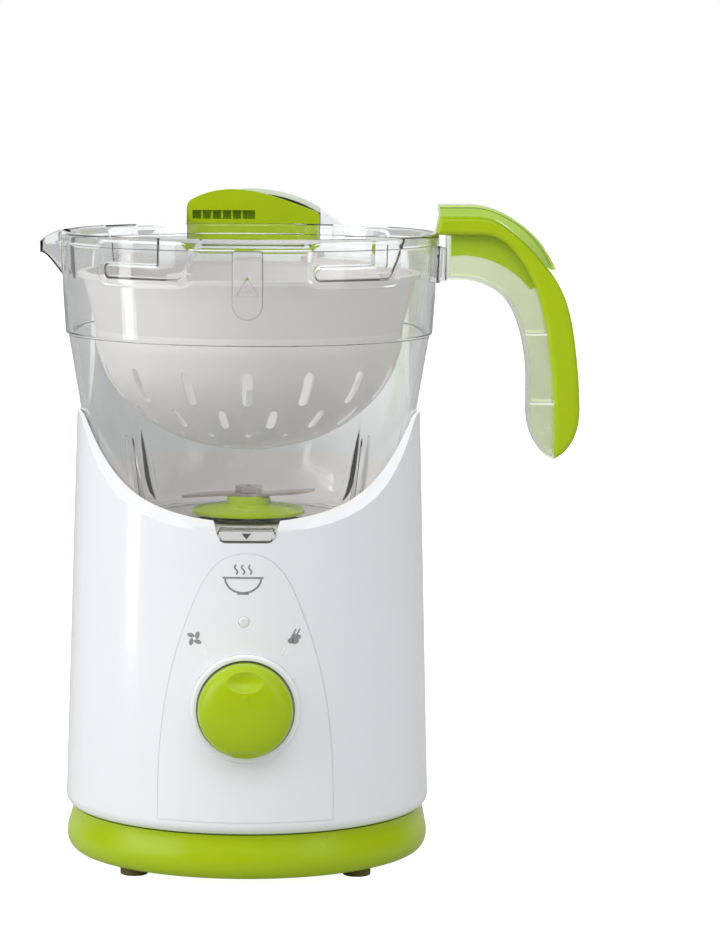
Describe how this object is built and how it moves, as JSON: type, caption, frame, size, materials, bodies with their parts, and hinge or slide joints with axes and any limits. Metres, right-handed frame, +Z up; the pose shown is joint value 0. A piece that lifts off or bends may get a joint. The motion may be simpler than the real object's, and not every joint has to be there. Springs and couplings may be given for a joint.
{
  "type": "baby food maker",
  "caption": "Steam cooker and blender for baby food: white motor base with a tower, clear jug with spout and hooked handle, steam basket, knob and green plinth.",
  "frame": {"origin": "on the jug and drive axis, at the level of the surface that the feet stand on", "axes": "+Z up along the drive axis; -Y towards the front with the knob; +X towards the handle, -X towards the spout; the tower stands at +Y"},
  "size_m": [0.2565, 0.237, 0.3152],
  "materials": {
    "white_shell": "glossy",
    "light_liner": "glossy",
    "lime_plastic": "glossy",
    "dark_rubber": "matt",
    "zinc_steel": "satin",
    "clear_san": "clear",
    "pale_green_clear": "clear",
    "green_clear": "clear",
    "basket_plastic": "satin",
    "blade_steel": "polished",
    "boiler_alloy": "satin",
    "laminations": "satin",
    "copper": "enamelled",
    "carbon": "matt",
    "black_plastic": "matt",
    "white_nylon": "matt",
    "board_green": "satin",
    "silicone": "matt",
    "lamp_clear": "clear"
  },
  "bodies": {
    "base": {"front_housing": "white_shell", "rear_housing": "white_shell", "front_fascia": "white_shell", "knob_bezel": "white_shell", "jug_cradle": "light_liner", "base_tray": "lime_plastic", "rubber_feet": "dark_rubber", "tray_screws": "zinc_steel", "lock_block": "lime_plastic", "filler_tube": "silicone", "pilot_lens": "lamp_clear", "pilot_lamp": "lamp_clear", "rotary_switch": "black_plastic", "control_board": "board_green", "board_components": "black_plastic", "jug_microswitch": "black_plastic", "microswitch_bracket": "zinc_steel", "motor_stator": "laminations", "field_coils": "copper", "lower_motor_bracket": "zinc_steel", "upper_motor_bracket": "zinc_steel", "motor_bolts": "zinc_steel", "lower_bearing": "zinc_steel", "upper_bearing": "zinc_steel", "motor_dampers": "dark_rubber", "carbon_brushes": "carbon", "brush_holders": "black_plastic", "boiler_tank": "boiler_alloy", "heating_plate": "boiler_alloy", "boiler_gasket": "silicone", "heating_element": "zinc_steel", "boiler_thermostat": "black_plastic", "thermal_fuse": "white_nylon", "steam_pipe": "silicone", "cord_gland": "black_plastic", "terminal_block": "white_nylon"},
    "jug": {"jug_body": "clear_san", "shaft_bush": "white_nylon", "shaft_seal": "silicone", "handle_strip": "lime_plastic", "handle_cover": "green_clear", "inner_grip": "pale_green_clear"},
    "blades": {"blade_disc": "lime_plastic", "blade_shaft": "zinc_steel", "steel_blade": "blade_steel", "blade_nut": "blade_steel", "driven_coupling": "white_nylon"},
    "rotor": {"rotor_core": "laminations", "motor_shaft": "zinc_steel", "rotor_windings": "copper", "commutator": "copper", "cooling_fan": "white_nylon", "drive_coupling": "white_nylon"},
    "knob": {"control_knob": "lime_plastic", "knob_shaft": "white_nylon"},
    "basket": {"steam_basket": "basket_plastic"},
    "cap": {"filler_cap": "white_shell"},
    "plunger": {"jug_plunger": "white_nylon"}
  },
  "joints": [
    {"name": "knob_turn", "type": "hinge", "parent": "base", "child": "knob", "pos_m": [0, -0.09, 0.0836], "axis": [0, 1, 0], "range_deg": [-40, 40]},
    {"name": "jug_lift", "type": "slide", "parent": "base", "child": "jug", "axis": [0, 0, 1], "range_m": [0, 0.16]},
    {"name": "basket_lift", "type": "slide", "parent": "jug", "child": "basket", "axis": [0, 0, 1], "range_m": [0, 0.11]},
    {"name": "motor_spin", "type": "hinge", "parent": "base", "child": "rotor", "pos_m": [0, 0, 0.08], "axis": [0, 0, 1], "continuous": true},
    {"name": "blade_spin", "type": "hinge", "parent": "jug", "child": "blades", "pos_m": [0, 0, 0.165], "axis": [0, 0, 1], "continuous": true},
    {"name": "cap_lift", "type": "slide", "parent": "base", "child": "cap", "axis": [0, 0, 1], "range_m": [0, 0.03]},
    {"name": "plunger_press", "type": "slide", "parent": "base", "child": "plunger", "axis": [0, 0, -1], "range_m": [0, 0.0015], "stiffness_N_per_m": 300}
  ],
  "couplings": [
    {"joint": "blade_spin", "follows": "motor_spin", "ratio": 1}
  ]
}
